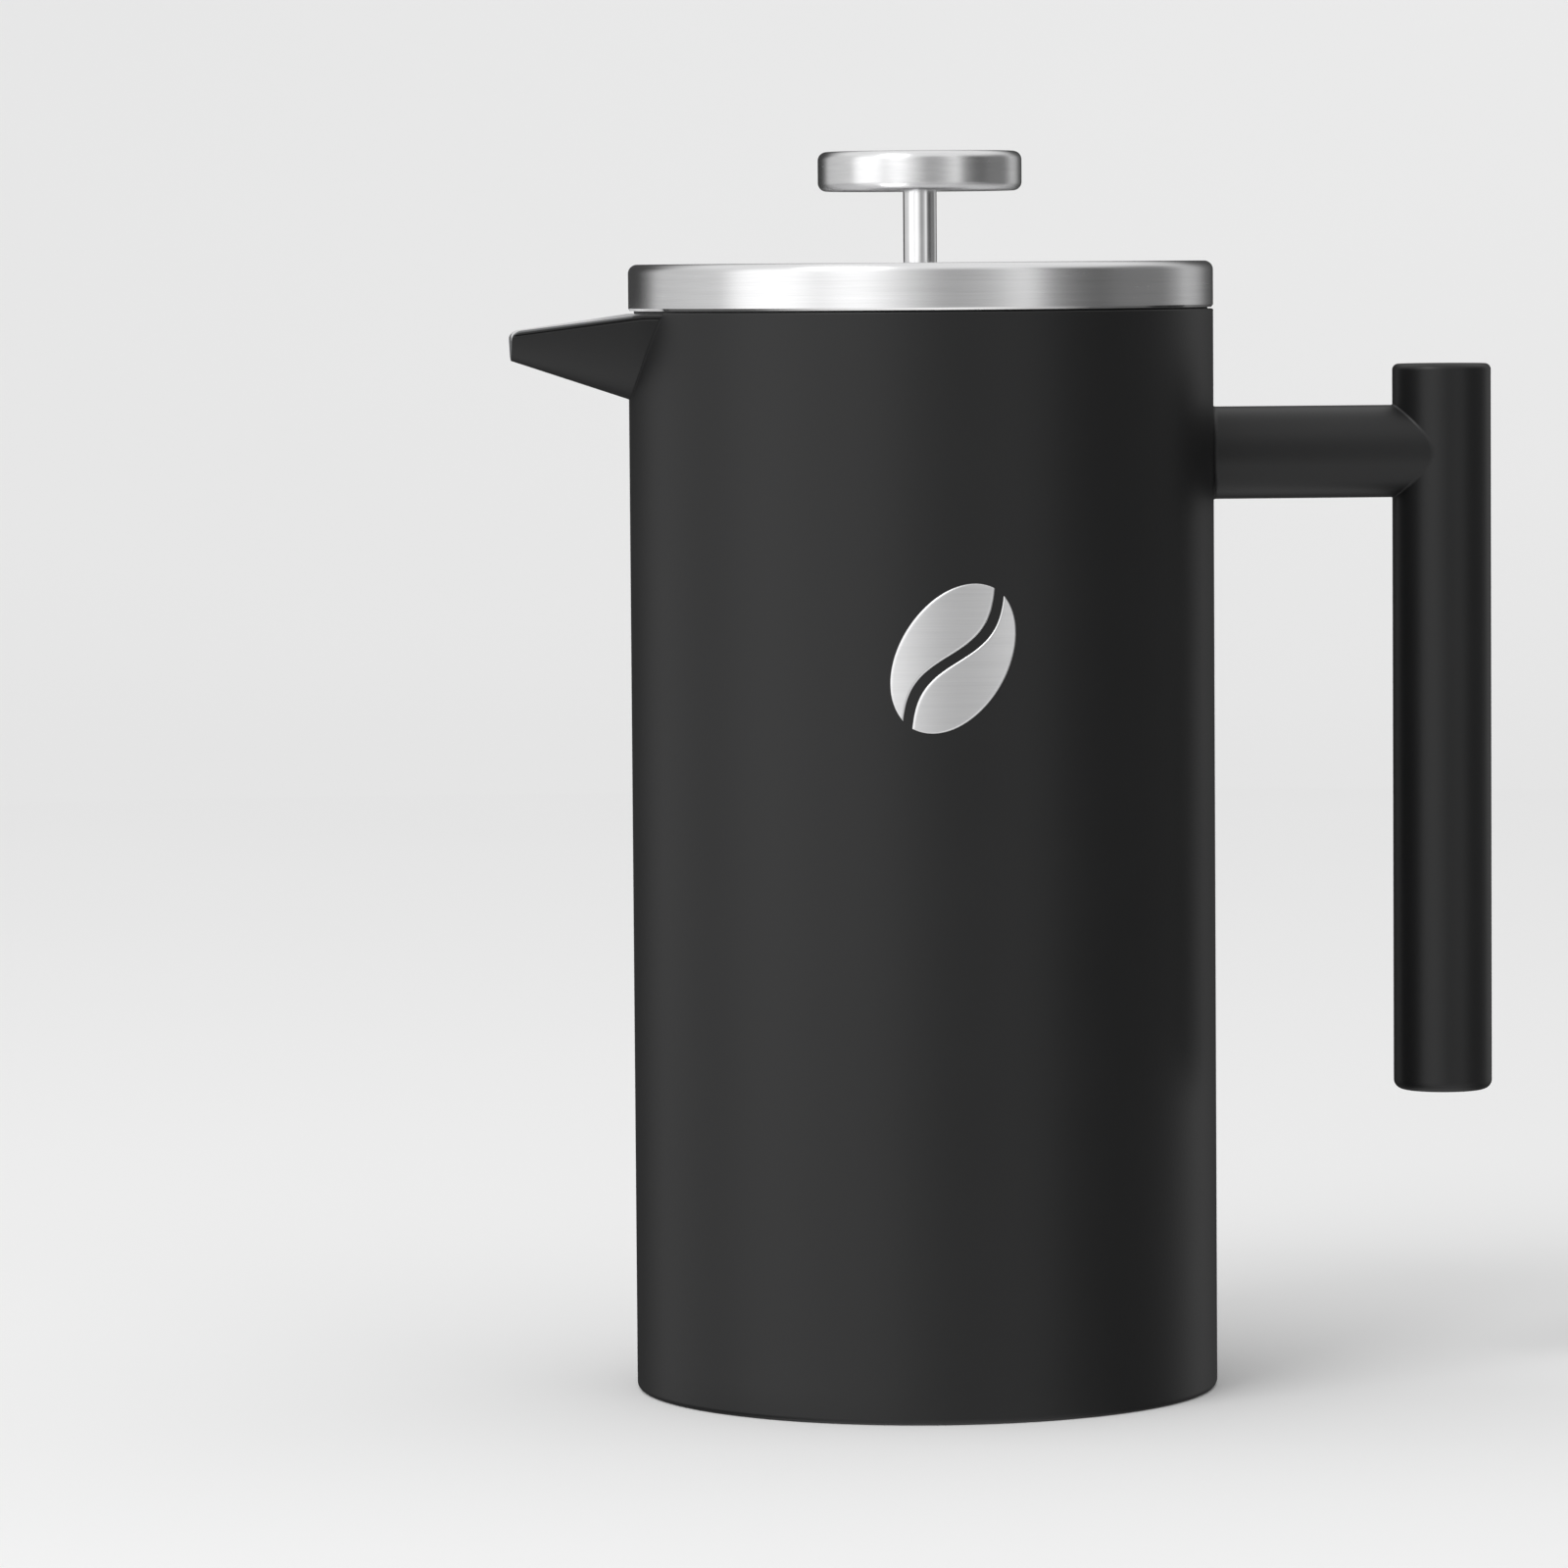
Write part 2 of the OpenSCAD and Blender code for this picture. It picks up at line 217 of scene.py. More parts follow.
def satin(name, shade, roughness):
    """Spun sheet steel: soft rings round the vertical axis over an even satin grain."""
    s = Shader(name)
    fine = s.grooves(fine=5000.0, drift=3.0, roughness=0.6)
    grain = s.noise(scale=2500.0, detail=2.0)
    tone = s.maths("ADD", s.maths("MULTIPLY", fine, 0.6), s.maths("MULTIPLY", grain, 0.4))
    rings = s.blend(s.span(tone, 0.0, 1.0), scaled(shade, 0.93), scaled(shade, 1.03))
    s.set(s.surface, "Base Color", rings)
    s.set(s.surface, "Metallic", 1.0)
    s.set(s.surface, "Roughness", s.span(tone, roughness * 0.93, roughness * 1.08))
    brushed_round(s, anisotropy=0.5)
    s.set(s.surface, "Normal", s.bump(fine, distance=0.00001, strength=0.06))
    return s.material


def polished(name, shade, roughness):
    """Turned and polished steel: a mirror with faint tool marks."""
    s = Shader(name)
    marks = s.grooves(fine=7000.0, drift=1.0, detail=2.0, roughness=0.6)
    smear = s.noise(scale=220.0)
    s.set(s.surface, "Base Color", s.blend(s.span(smear, 0.0, 1.0), scaled(shade, 0.94), shade))
    s.set(s.surface, "Metallic", 1.0)
    s.set(s.surface, "Roughness", s.span(smear, roughness * 0.7, roughness * 1.5))
    s.set(s.surface, "Normal", s.bump(marks, distance=0.000004, strength=0.3))
    return s.material


def silicone(name, shade):
    """Moulded silicone rubber with a slight bloom."""
    s = Shader(name)
    bloom = s.noise(scale=400.0, detail=4.0)
    grain = s.noise(scale=5000.0, detail=2.0)
    clouds = s.blend(s.span(bloom, 0.0, 1.0), scaled(shade, 0.8), scaled(shade, 1.3))
    s.set(s.surface, "Base Color", clouds)
    s.set(s.surface, "Roughness", s.span(bloom, 0.5, 0.7))
    s.set(s.surface, "Normal", s.bump(grain, distance=0.00002, strength=0.3))
    return s.material


def woven(name, shade, pitch):
    """Fine wire cloth: over-and-under wires in height, with painted shade darkening the dips between them,
    pitch millimetres apart.
    """
    s = Shader(name)
    split = s.add("ShaderNodeSeparateXYZ", Vector=s.place)
    per_metre = math.pi / (pitch * MM)
    across = s.maths("SINE", s.maths("MULTIPLY", split.outputs["X"], per_metre))
    along = s.maths("SINE", s.maths("MULTIPLY", split.outputs["Y"], per_metre))
    height = s.span(s.maths("MULTIPLY", across, along), 0.0, 1.0, -1.0, 1.0)
    # painted shade: the colour falls to about a third where the weave dips, for the shade between the wires
    s.set(s.surface, "Base Color", s.blend(height, scaled(shade, 0.35), shade))
    s.set(s.surface, "Metallic", 1.0)
    s.set(s.surface, "Roughness", s.span(s.noise(scale=300.0), 0.28, 0.42))
    s.set(s.surface, "Normal", s.bump(height, distance=0.0001, strength=0.6))
    return s.material


COAT = coating("powder_coat", (0.0085, 0.0086, 0.0089))
# a ten times lighter copy of the coat: a painted highlight for the light that the spout's cut rim and lip
# reflect
COAT_PAINTED_HIGHLIGHT = coating("powder_coat_painted_highlight", (0.085, 0.088, 0.09))
BRUSHED = brushed("brushed_steel", (0.74, 0.74, 0.745), 0.27)
HEM = polished("polished_hem", (0.86, 0.86, 0.86), 0.12)
BADGE = brushed("badge_steel", (0.76, 0.76, 0.765), 0.34, anisotropy=0.4, line=0.2)
SATIN = satin("satin_steel", (0.66, 0.66, 0.665), 0.3)
MIRROR = polished("polished_steel", (0.8, 0.8, 0.805), 0.09)
RUBBER = silicone("black_silicone", (0.022, 0.022, 0.023))
MESH_FINE = woven("fine_wire_cloth", (0.62, 0.62, 0.62), 0.5)
WIRE = polished("drawn_wire", (0.66, 0.66, 0.66), 0.2)

# every CAD node's material; the ones that are rebuilt below keep theirs as well
CAD_MATERIALS = [
    (COAT, "outer_shell spout handle_arm grip_tube grip_cap_top grip_cap_bottom"),
    (BRUSHED, "lid_cap knob"),
    (BADGE, "emblem"),
    (SATIN, "inner_vessel vessel_floor base_plate vacuum_seal lid_pan lid_skirt spring_plate cross_plate"),
    (MIRROR, "rod_bush bush_nut stem_sleeve plunger_rod rod_collar hub_nut"),
    (RUBBER, "lid_gasket bush_washer"),
    (WIRE, "edge_spring"),
    (MESH_FINE, "fine_screen coarse_screen"),
]
for material, names in CAD_MATERIALS:
    for node_name in names.split():
        mesh = nodes[node_name].data
        mesh.materials.clear()
        mesh.materials.append(material)


# ---- mesh helpers, in millimetres ----


def make(name, verts, faces, body, materials, replaced=(), sharp=32.0, kinds=None):
    """A piece from millimetre vertices and faces. Level faces are flat, and the rest are smooth
    except at edges that turn by more than sharp degrees. kinds gives each face's place in materials."""
    mesh = bpy.data.meshes.new(name)
    mesh.from_pydata([(x * MM, y * MM, z * MM) for x, y, z in verts], [], faces)
    if kinds is not None:
        mesh.polygons.foreach_set("material_index", kinds)
    bm = bmesh.new()
    bm.from_mesh(mesh)
    bmesh.ops.remove_doubles(bm, verts=bm.verts, dist=1e-7)
    bmesh.ops.dissolve_degenerate(bm, edges=bm.edges, dist=1e-8)
    bmesh.ops.recalc_face_normals(bm, faces=bm.faces)
    for face in bm.faces:
        face.smooth = abs(face.normal.z) < 0.9999
    limit = math.radians(sharp)
    for edge in bm.edges:
        if len(edge.link_faces) == 2 and edge.calc_face_angle(0.0) > limit:
            edge.smooth = False
    bm.to_mesh(mesh)
    bm.free()
    for material in materials:
        mesh.materials.append(material)
    piece = bpy.data.objects.new(name, mesh)
    scene.collection.objects.link(piece)
    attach(piece, body)
    if replaced:
        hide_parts(*replaced)


def arc(x, z, r, start, end, steps):
    """Points of an arc round (x, z), from angle start to end in degrees."""
    turns = [math.radians(start + (end - start) * i / steps) for i in range(steps + 1)]
    return [(x + r * math.cos(t), z + r * math.sin(t)) for t in turns]


def soften(points, radius):
    """A closed outline with each corner rounded."""
    steps, count = 4, len(points)
    out = []
    for i, corner in enumerate(points):
        p = Vector(corner)
        before, after = Vector(points[i - 1]) - p, Vector(points[(i + 1) % count]) - p
        cut = min(radius, before.length * 0.45, after.length * 0.45)
        a, b = p + before.normalized() * cut, p + after.normalized() * cut
        for k in range(steps + 1):
            t = k / steps
            out.append(tuple(a * (1 - t) ** 2 + p * 2 * t * (1 - t) + b * t * t))
    return out


def revolve(profile, steps=192):
    """Vertices and faces of a closed outline of (radius, height) turned round the vertical axis."""
    verts, rings, faces = [], [], []
    for r, z in profile:
        if r < 1e-9:
            rings.append([len(verts)] * steps)
            verts.append((0.0, 0.0, z))
        else:
            rings.append([len(verts) + k for k in range(steps)])
            for k in range(steps):
                t = 2 * math.pi * k / steps
                verts.append((r * math.cos(t), r * math.sin(t), z))
    for i, ring in enumerate(rings):
        above = rings[(i + 1) % len(rings)]
        for k in range(steps):
            nxt = (k + 1) % steps
            quad = list(dict.fromkeys([ring[k], ring[nxt], above[nxt], above[k]]))
            if len(quad) > 2:
                faces.append(quad)
    return verts, faces


def tube_faces(total, count, closed, first=0):
    """Faces that join total cross-sections of count points each, numbered from first."""
    faces = []
    for i in range(total if closed else total - 1):
        j = (i + 1) % total
        for k in range(count):
            nxt = (k + 1) % count
            a, b = first + i * count, first + j * count
            faces.append([a + k, b + k, b + nxt, a + nxt])
    return faces


# ---- spout ----


def spout_point(out, u):
    """A point of the spout's outer skin: out millimetres past the wall, u from -1 to 1 across."""
    along = out / SPOUT_REACH
    half = SPOUT_W / 2 + (LIP_W - SPOUT_W) / 2 * along
    top = SPOUT_TOP - LIP_DROP * along
    keel = SPOUT_TOP - SPOUT_DEPTH + (SPOUT_DEPTH - LIP_DEPTH - LIP_DROP) * along
    curve = SPOUT_CURVE + (LIP_CURVE - SPOUT_CURVE) * along
    if out < 0:
        top = min(top, BODY_H - 0.45)
    soft = math.sqrt(u * u + KEEL_SOFT**2) - KEEL_SOFT
    rise = soft / (math.sqrt(1 + KEEL_SOFT**2) - KEEL_SOFT)
    return Vector((-BODY_R - out, half * u, keel + (top - keel) * rise**curve))


def notch_height(y):
    """Height of the spout's outer skin where it crosses the wall's outer face at y, or None beside it."""
    if abs(y) > SPOUT_W:
        return None
    out = math.sqrt(BODY_R**2 - y * y) - BODY_R
    half = SPOUT_W / 2 + (LIP_W - SPOUT_W) / 2 * out / SPOUT_REACH
    if abs(y) >= half:
        return None
    return spout_point(out, y / half).z


def root_out(u):
    """How far out (negative is inside) the spout's skin lies where it meets the wall's outer face."""
    low, high = -14.0, 6.0
    for _ in range(40):  # halvings
        mid = (low + high) / 2
        p = spout_point(mid, u)
        if math.hypot(p.x, p.y) < BODY_R:
            low = mid
        else:
            high = mid
    return (low + high) / 2


def spout_at(out, station):
    """A point of the spout's left side, out millimetres past the wall. A station is a share of the way
    down to the keel from a fixed length below the rim."""
    steps = 80
    fine = [spout_point(out, -1 + i / steps) for i in range(steps + 1)]
    walked = [0.0]
    for before, after in zip(fine, fine[1:]):
        walked.append(walked[-1] + (after - before).length)
    share, fixed = station
    target = fixed + share * (walked[-1] - fixed)
    i = max(k for k in range(steps) if walked[k] <= target + 1e-9)
    t = (target - walked[i]) / (walked[i + 1] - walked[i])
    return fine[i].lerp(fine[i + 1], t)


def crease_depth(down):
    """Depth of the pressed line that runs below the spout's rim."""
    depth, below_rim, half_width = 0.34, 0.72, 0.13
    return depth * math.exp(-(((down - below_rim) / half_width) ** 2))


def rim_thickness(down):
    """The spout's sheet is thinner along its rim."""
    start, run = 0.8, 0.4
    return RIM_T + (SPOUT_T - RIM_T) * min(1.0, max(0.0, (down - start) / run))


def spout_stations():
    """Stations from one side's rim down to the keel, close together round the pressed line."""
    hem, below = 1.2, 18
    near_rim = [0.0, 0.12, 0.3, 0.45, 0.55, 0.65, 0.75, 0.85, 0.95, 1.05, hem]
    return [(0.0, down) for down in near_rim] + [(k / below, hem) for k in range(1, below + 1)]


def spout_line(station, rows):
    """Points along the spout at one station, from inside the wall to the lip."""
    corner, root_r, closer_to_wall = 1.5, BODY_R - 3.45, 1.4
    share, down = station
    start = -12.0
    for _ in range(6):  # moves the start until it lies on the cylinder of radius root_r
        p = spout_at(start, station)
        start += root_r - math.hypot(p.x, p.y)
    at_corner = share == 0.0 and down < corner
    rounded = corner - math.sqrt(corner**2 - (corner - down) ** 2) if at_corner else 0.0
    end = SPOUT_REACH - rounded
    line = []
    for k in range(rows + 1):
        along = 1 - (1 - k / rows) ** closer_to_wall
        line.append(spout_at(start + (end - start) * along, station))
    return line


def build_spout():
    """The spout's sheet: coated outside, bare steel inside. Its rounded edges are coated too, and past the
    wall in a lighter coat that is a painted highlight.
    """
    rows, layers, swell_depth, past_wall = 30, 5, 0.2, 0.3
    stations = spout_stations()
    stations += stations[-2::-1]
    columns = len(stations)
    grid = []
    for i, station in enumerate(stations):
        side = 1 if i <= columns // 2 else -1
        grid.append([Vector((p.x, p.y * side, p.z)) for p in spout_line(station, rows)])

    def normal(i, k):
        a, b = grid[max(i - 1, 0)][k], grid[min(i + 1, columns - 1)][k]
        c, d = grid[i][max(k - 1, 0)], grid[i][min(k + 1, rows)]
        n = (b - a).cross(d - c).normalized()
        return n if n.z > 0 or abs(n.z) < 1e-6 and n.y * grid[i][k].y < 0 else -n

    verts, index = [], {}
    for i, (share, down) in enumerate(stations):
        at_rim = share == 0.0
        dent = crease_depth(down) if at_rim else 0.0
        thick = rim_thickness(down) if at_rim else SPOUT_T
        for k in range(rows + 1):
            n = normal(i, k)
            for m in range(layers):
                # the rim and the lip are rounded over the sheet's thickness
                t = m / (layers - 1)
                swell = swell_depth * (1 - math.sqrt(max(0.0, 1 - (2 * t - 1) ** 2)))
                p = grid[i][k] + n * (thick * t + (dent if m == 0 else 0.0))
                if i in (0, columns - 1):
                    inward = (grid[3 if i == 0 else columns - 4][k] - grid[i][k]).normalized()
                    p = p + inward * swell
                if k == rows:
                    p = p + (grid[i][k - 1] - grid[i][k]).normalized() * swell
                if m in (0, layers - 1) or i in (0, columns - 1) or k in (0, rows):
                    index[i, k, m] = len(verts)
                    verts.append(tuple(p))
    # edge faces carry the lighter coat, a painted highlight along the rim and lip
    outside, inside, edge = 0, 1, 2
    faces, kinds = [], []
    for i in range(columns - 1):
        for k in range(rows):
            for m in (0, layers - 1):
                around = ((i, k), (i + 1, k), (i + 1, k + 1), (i, k + 1))
                faces.append([index[(*corner, m)] for corner in around])
                kinds.append(inside if m else outside)
    for m in range(layers - 1):
        cut_edges = [((i, k), (i, k + 1)) for k in range(rows) for i in (0, columns - 1)]
        cut_edges += [((i, k), (i + 1, k)) for i in range(columns - 1) for k in (0, rows)]
        for a, b in cut_edges:
            faces.append([index[(*a, m)], index[(*b, m)], index[(*b, m + 1)], index[(*a, m + 1)]])
            # rim and lip faces past the wall get the painted highlight coat, the rest the plain coat
            kinds.append(edge if grid[a[0]][a[1]].x < -BODY_R - past_wall else outside)
    make("spout_sheet", verts, faces, "carafe", [COAT, SATIN, COAT_PAINTED_HIGHLIGHT], ["spout"],
         sharp=60.0, kinds=kinds)


def strip(name, sections, closed, body, material, replaced=(), sharp=50.0):
    """A bead from cross-sections of the same number of points each. It ends in flat faces unless closed."""
    total, count = len(sections), len(sections[0])
    verts = [tuple(p) for row in sections for p in row]
    faces = tube_faces(total, count, closed)
    if not closed:
        faces.append([k for k in range(count)])
        faces.append([(total - 1) * count + k for k in reversed(range(count))])
    make(name, verts, faces, body, [material], replaced, sharp=sharp)


def fillet_section(on_a, corner, on_b, deep):
    """A concave fillet's cross-section from a point on one skin to a point on the other, closed at a
    point inside them both."""
    steps = 10
    section = []
    for k in range(steps + 1):
        t = k / steps
        section.append(on_a * (1 - t) ** 2 + corner * 2 * t * (1 - t) + on_b * t * t)
    return section + [deep]


def build_spout_weld():
    """The bead that joins the spout to the wall."""
    reach, sink, half_count, widest, ahead = 0.3, 0.3, 40, 0.985, 0.01
    sections = []
    for i in range(-half_count, half_count + 1):
        u = widest * math.sin(i / half_count * math.pi / 2)
        out = root_out(u)
        corner = spout_point(out, u)
        on_spout = spout_point(out + reach, u)
        step = spout_point(out, min(1.0, u + ahead)) - spout_point(out, max(-1.0, u - ahead))
        radial = Vector((corner.x, corner.y, 0)).normalized()
        away = radial.cross(step).normalized()
        if away.z > 0:
            away = -away
        on_wall = corner + away * reach
        flat = Vector((on_wall.x, on_wall.y, 0)).normalized() * BODY_R
        on_wall = Vector((flat.x, flat.y, on_wall.z))
        deep = corner - radial * sink - away * sink
        sections.append(fillet_section(on_wall, corner, on_spout, deep))
    strip("spout_weld", sections, False, "carafe", COAT)


# ---- carafe ----


def shell_angles():
    """Compass directions round the shell in degrees, closer together across the spout."""
    fine_step, coarse_step, half_fan = 0.5, 1.5, 26.0
    angles = []
    angle = -180.0
    while angle < 180.0 - 1e-9:
        angles.append(angle)
        across_spout = abs(abs(angle + 0.01) - 180.0) < half_fan
        angle += fine_step if across_spout else coarse_step
    return angles


def build_shell():
    """The coated outer wall, with a rounded foot and rim and a notch that the spout sits in."""
    edge, foot, plate_r, notch_gap = 0.22, 1.0, 46.0, 0.25  # plate_r is the recess round the base plate
    inner = BODY_R - SHEET
    profile = [(plate_r, 0.0)]
    profile += arc(BODY_R - foot, foot, foot, -90, 0, 8)
    profile += [(BODY_R, z) for z in (6.0, 30.0, 60.0, 90.0, 120.0, 150.0, 170.0)]
    rim = [(BODY_R, BODY_H - edge - 0.25), (BODY_R, BODY_H - edge - 0.08)]
    rim += arc(BODY_R - edge, BODY_H - edge, edge, 0, 90, 4) + [(inner, BODY_H), (inner, BODY_H - 1.0)]
    first_of_rim = len(profile)
    profile += rim
    after_rim = len(profile)
    profile += [(inner, 160.0), (inner, foot)]
    profile += arc(BODY_R - foot, foot, foot - SHEET, 0, -90, 3)
    profile += [(plate_r, SHEET)]
    angles = shell_angles()
    verts = []
    for degrees in angles:
        t = math.radians(degrees)
        c, s = math.cos(t), math.sin(t)
        notch = notch_height(BODY_R * s) if c < 0 else None
        drop = 0.0 if notch is None else max(0.0, BODY_H - (notch + notch_gap))
        for k, (r, z) in enumerate(profile):
            if first_of_rim <= k < after_rim:
                z = z - drop
            verts.append((r * c, r * s, z))
    faces = tube_faces(len(angles), len(profile), True)
    make("shell_coated", verts, faces, "carafe", [COAT], ["outer_shell"], sharp=40.0)


def on_body(y, height, past=0.0):
    """A point of the wall on the handle's side, moved out by past."""
    return Vector((math.sqrt(BODY_R**2 - y * y) + past, y, ARM_Z + height))


def on_grip(y, height, past=0.0):
    """A point of the grip tube on the carafe's side, moved out by past."""
    return Vector((GRIP_X - math.sqrt(GRIP_R**2 - y * y) - past, y, ARM_Z + height))


def build_handle_welds():
    """The beads where the arm meets the wall and where it meets the grip."""
    steps, sink = 72, 0.3
    for name, skin, bead, along_arm in (
        ("arm_body_weld", on_body, 1.0, 1.0),
        ("arm_grip_weld", on_grip, 0.34, 0.34 * 1.5),
    ):
        sections = []
        for i in range(steps):
            t = 2 * math.pi * i / steps
            c, s = math.cos(t), math.sin(t)

            def beside(extra, past=0.0):
                return skin((ARM_R + extra) * c, (ARM_R + extra) * s, past)

            on_arm, deep = beside(0, along_arm), beside(-sink, -sink)
            sections.append(fillet_section(beside(bead), beside(0), on_arm, deep))
        strip(name, sections, True, "carafe", COAT)


def bean_half(side):
    """One half of the bean as rows of (across, along, height), with a rounded edge all round."""
    half_w, half_l, gap, thick, edge = 9.5, 14.0, 0.9, 0.25, 0.35
    rows, across, end_share = 60, 20, 0.994
    split_swing, split_length = 2 * half_w * 0.13, 2 * half_l * 0.55
    lines = []
    for i in range(rows + 1):
        b = half_l * math.sin((i / rows - 0.5) * math.pi * end_share)
        rim = side * half_w * math.sqrt(max(0.0, 1 - (b / half_l) ** 2))
        inner = split_swing * math.sin(math.pi * b / split_length) + side * gap
        if (rim - inner) * side <= 0.02:
            continue
        line = []
        for k in range(across + 1):
            q = 0.5 - 0.5 * math.cos(math.pi * k / across)
            near = min(q, 1 - q) * abs(rim - inner)
            height = thick * math.sqrt(max(0.0, 1 - (1 - min(1.0, near / edge)) ** 2))
            line.append((inner + (rim - inner) * q, b, height))
        lines.append(line)
    return lines


def build_emblem():
    """A coffee bean in two halves, leaning to the right and curved to the wall."""
    centre_z, lean, sunk = 132.8, math.radians(32), 0.1
    c, s = math.cos(lean), math.sin(lean)

    def placed(a, b, height):
        x, z = a * c + b * s, -a * s + b * c
        return (x, -math.sqrt((BODY_R + height) ** 2 - x * x), centre_z + z)

    for side, name in ((-1, "bean_half_left"), (1, "bean_half_right")):
        lines = bean_half(side)
        width = len(lines[0])
        verts, faces = [], []
        for line in lines:
            verts += [placed(a, b, height) for a, b, height in line]
            verts += [placed(a, b, -sunk) for a, b, _ in line]
        for i in range(len(lines) - 1):
            p, q = 2 * width * i, 2 * width * (i + 1)
            for k in range(width - 1):
                faces.append([p + k, p + k + 1, q + k + 1, q + k])
                faces.append([p + k + width, q + k + width, q + k + width + 1, p + k + width + 1])
            for k in (0, width - 1):
                faces.append([p + k, q + k, q + k + width, p + k + width])
        for i in (0, len(lines) - 1):
            for k in range(width - 1):
                p = 2 * width * i + k
                faces.append([p, p + 1, p + 1 + width, p + width])
        make(name, verts, faces, "carafe", [BADGE], ["emblem"], sharp=60.0)


# ---- lid and knob ----


def build_lid():
    """The lid's cap: a polished hem that faces down, a brushed side and a rounded top edge."""
    low, high, r = LID_LOW.z, LID_HIGH.z, LID_HIGH.y
    hem_run, hem_rise, round_edge, hole, hole_edge = 0.29, 0.45, 1.6, 4.58, 0.2
    under = high - SHEET
    profile = [(r - SHEET, low), (r - hem_run, low), (r, low + hem_rise), (r, low + 0.8)]
    profile += [(r, low + 3.0), (r, low + 5.0)]
    profile += arc(r - round_edge, high - round_edge, round_edge, 0, 90, 16)
    profile += [(q, high) for q in (44.0, 36.0, 28.0, 20.0, 12.0)]
    profile += [(hole + hole_edge, high), (hole, high - hole_edge)]
    profile += [(q, under) for q in (hole, 12.0, 30.0)]
    profile += arc(r - round_edge, high - round_edge, round_edge - SHEET, 90, 0, 5)
    verts, faces = revolve(profile, 256)
    hem_top = low + hem_rise + 0.01
    kinds = [1 if all(verts[v][2] < hem_top for v in face) else 0 for face in faces]
    make("lid_cap_brushed", verts, faces, "lid", [BRUSHED, HEM], ["lid_cap"], kinds=kinds)


def build_knob():
    """The knob: a disc with rounded edges and a hole below for the rod."""
    low, high, r = KNOB_LOW.z, KNOB_HIGH.z, KNOB_R
    edge, recess, hole_top = 1.55, low + 0.15, low + 4.6
    profile = [(0.0, high), (6.0, high), (12.0, high)]
    profile += arc(r - edge, high - edge, edge, 90, 0, 16)
    profile += [(r, (low + high) / 2)]
    profile += arc(r - edge, low + edge, edge, 0, -90, 16)
    profile += [(10.0, low), (4.2, low), (3.9, recess), (3.3, recess), (BORE_R, recess)]
    profile += [(BORE_R, hole_top), (0.0, hole_top)]
    verts, faces = revolve(profile)
    make("knob_brushed", verts, faces, "plunger", [BRUSHED], ["knob"])


# ---- plunger, bush and gasket ----


def ring_size(name):
    """Outer radius, bottom and top of a round CAD node, in millimetres."""
    low, high = box_mm(name)
    return high.y, low.z, high.z


def build_edge_spring():
    """The coil spring that presses the screens to the wall: one wire wound round a ring and joined."""
    outer, low, high = ring_size("edge_spring")
    wire, turns, per_turn, sides = 0.24, 190, 12, 6
    coil = (high - low) / 2 - wire
    ring_r, middle = outer - (high - low) / 2, (low + high) / 2
    total = turns * per_turn

    def core(i):
        t = 2 * math.pi * i / total
        return Vector((ring_r * math.cos(t), ring_r * math.sin(t), middle))

    def centre(i):
        t = 2 * math.pi * i / total
        r = ring_r + coil * math.cos(t * turns)
        return Vector((r * math.cos(t), r * math.sin(t), middle + coil * math.sin(t * turns)))

    sections = []
    for i in range(total):
        p, ahead = centre(i), (centre(i + 1) - centre(i - 1)).normalized()
        from_core = (p - core(i)).normalized()
        a = (from_core - ahead * from_core.dot(ahead)).normalized()
        b = ahead.cross(a)
        sections.append([p + (a * math.cos(q) + b * math.sin(q)) * wire
                         for q in (2 * math.pi * k / sides for k in range(sides))])
    strip("edge_spring_coil", sections, True, "plunger", WIRE, ["edge_spring"], sharp=80.0)


def cup_point(rho, radius, bend, low):
    """Where cloth at a flat distance rho from the centre lies once it is pressed into a cup."""
    flat, quarter = radius - bend, bend * math.pi / 2
    if rho <= flat:
        return rho, low, 0.0
    if rho <= flat + quarter:
        a = (rho - flat) / bend
        return flat + bend * math.sin(a), low + bend * (1 - math.cos(a)), a
    return radius, low + bend + rho - flat - quarter, math.pi / 2


def cloth_wires(reach, pitch, hole, place):
    """The wires of a round woven cloth with a hole in the middle, each a list of points and normals.
    place turns a flat x, y and the sign of the weave into a point and a normal."""
    half = int(reach / pitch)
    for along_x in (True, False):
        for row in range(-half, half + 1):
            across = (row + 0.5) * pitch
            if abs(across) >= reach:
                continue
            count = int(math.sqrt(reach**2 - across**2) / pitch * 2)
            stretch = []
            for i in range(-count, count + 1):
                run = i * pitch / 2
                x, y = (run, across) if along_x else (across, run)
                over = math.sin(math.pi * (run / pitch + row)) * (1 if along_x else -1)
                if math.hypot(x, y) >= hole:
                    stretch.append(place(x, y, over))
                    continue
                yield stretch
                stretch = []
            yield stretch


